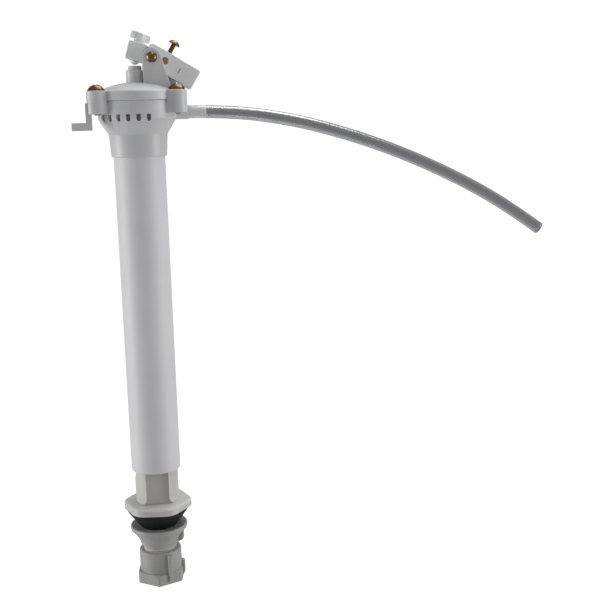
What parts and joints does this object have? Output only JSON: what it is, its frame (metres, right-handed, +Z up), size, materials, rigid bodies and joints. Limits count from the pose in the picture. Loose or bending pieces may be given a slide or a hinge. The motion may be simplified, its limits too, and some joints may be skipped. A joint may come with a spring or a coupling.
{
  "type": "float valve",
  "caption": "Upright diaphragm float valve for a cistern: forked float arm on a domed bonnet, casing pipe, threaded base with nuts and a clear refill hose.",
  "frame": {"origin": "middle of the tank hole, on the valve's axis, in the plane of the flange's underside that seals on the tank", "axes": "+Z up the valve's axis, +X towards the refill hose and the float arm, -Y the front"},
  "size_m": [0.3074, 0.0589, 0.3582],
  "materials": {
    "white_plastic": "moulded white acetal, soft gloss",
    "pipe_plastic": "extruded white pipe, satin",
    "base_plastic": "moulded off-white plastic, soft gloss",
    "nut_plastic": "natural nylon, satin",
    "washer_rubber": "black rubber, satin",
    "seal_rubber": "black nitrile rubber",
    "brass_screws": "bright machined brass",
    "brass_small": "bright turned brass",
    "clear_vinyl": "clear flexible vinyl",
    "inner_plastic": "moulded white plastic"
  },
  "bodies": {
    "valve": {"base_shank": "base_plastic", "cone_washer": "washer_rubber", "coupling_washer": "seal_rubber", "casing_tube": "pipe_plastic", "riser_pipe": "inner_plastic", "riser_o_rings": "seal_rubber", "valve_body": "white_plastic", "seat_column": "inner_plastic", "diaphragm": "seal_rubber", "diaphragm_insert": "inner_plastic", "bonnet": "white_plastic", "bonnet_screws": "brass_screws", "pivot_pin": "brass_small", "pivot_clip": "brass_small", "refill_hose": "clear_vinyl"},
    "lever": {"lever": "white_plastic"},
    "wing_screw": {"wing_screw": "white_plastic"},
    "float_arm": {"float_arm": "white_plastic", "barrel_nut": "brass_small"},
    "level_screw": {"level_screw": "brass_small"},
    "plunger": {"plunger": "inner_plastic", "plunger_o_ring": "seal_rubber", "pilot_seal": "seal_rubber"},
    "lock_nut": {"lock_nut": "nut_plastic"},
    "coupling_nut": {"coupling_nut": "nut_plastic"}
  },
  "joints": [
    {"name": "lever_pivot", "type": "hinge", "parent": "valve", "child": "lever", "pos_m": [0.0104, 0, 0.29105], "axis": [0, -1, 0], "range_deg": [0, 22]},
    {"name": "level_adjust", "type": "hinge", "parent": "lever", "child": "float_arm", "pos_m": [0.0104, 0, 0.29105], "axis": [0, -1, 0], "range_deg": [0, 8]},
    {"name": "level_screw_feed", "type": "slide", "parent": "float_arm", "child": "level_screw", "axis": [-0.5255, 0, -0.8508], "range_m": [0, 0.0012]},
    {"name": "plunger_slide", "type": "slide", "parent": "valve", "child": "plunger", "axis": [0, 0, -1], "range_m": [0, 0.0032]},
    {"name": "wing_screw_turn", "type": "hinge", "parent": "lever", "child": "wing_screw", "pos_m": [0.00132, 0, 0.29384], "axis": [0.294, 0, 0.9558], "continuous": true},
    {"name": "lock_nut_turn", "type": "hinge", "parent": "valve", "child": "lock_nut", "pos_m": [0, 0, -0.02], "axis": [0, 0, 1], "continuous": true},
    {"name": "coupling_nut_turn", "type": "hinge", "parent": "valve", "child": "coupling_nut", "pos_m": [0, 0, -0.04], "axis": [0, 0, 1], "continuous": true}
  ],
  "couplings": [
    {"joint": "plunger_slide", "follows": "lever_pivot", "m_per_rad": 0.0082},
    {"joint": "level_screw_feed", "follows": "level_adjust", "m_per_rad": 0.0081}
  ]
}
